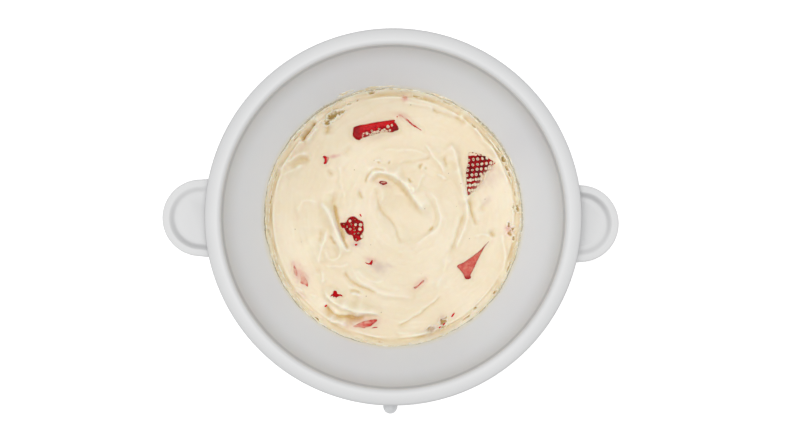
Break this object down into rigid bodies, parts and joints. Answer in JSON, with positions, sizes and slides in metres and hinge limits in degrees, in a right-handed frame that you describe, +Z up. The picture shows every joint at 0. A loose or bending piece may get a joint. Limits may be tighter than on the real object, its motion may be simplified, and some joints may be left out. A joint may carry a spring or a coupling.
{
  "type": "strawberry ice cream in a freezer bowl",
  "caption": "Cream-coloured ice cream with cut strawberry pieces in a deep round double-walled churning bowl with two side ears.",
  "frame": {"origin": "centre of the flat base, on the bowl's turning axis", "axes": "+Z up out of the bowl's mouth, the two ears along X, the locating pin to -Y"},
  "size_m": [0.2587, 0.2182, 0.15],
  "materials": {
    "bowl_plastic": "satin moulded plastic, light grey-white",
    "pin_plastic": "satin moulded plastic, light grey",
    "ice_cream": null,
    "strawberry": null
  },
  "bodies": {
    "root": {"bowl": "bowl_plastic", "bowl_pin": "pin_plastic", "ice_cream": "ice_cream", "strawberry_bar": "strawberry", "strawberry_sliver": "strawberry", "strawberry_wedge": "strawberry", "strawberry_chunk": "strawberry", "strawberry_slice": "strawberry", "strawberry_corner": "strawberry", "strawberry_tucked": "strawberry", "strawberry_stick": "strawberry", "strawberry_strip": "strawberry", "strawberry_flap": "strawberry", "strawberry_scrap": "strawberry", "strawberry_fin": "strawberry", "strawberry_nub": "strawberry"}
  },
  "joints": []
}
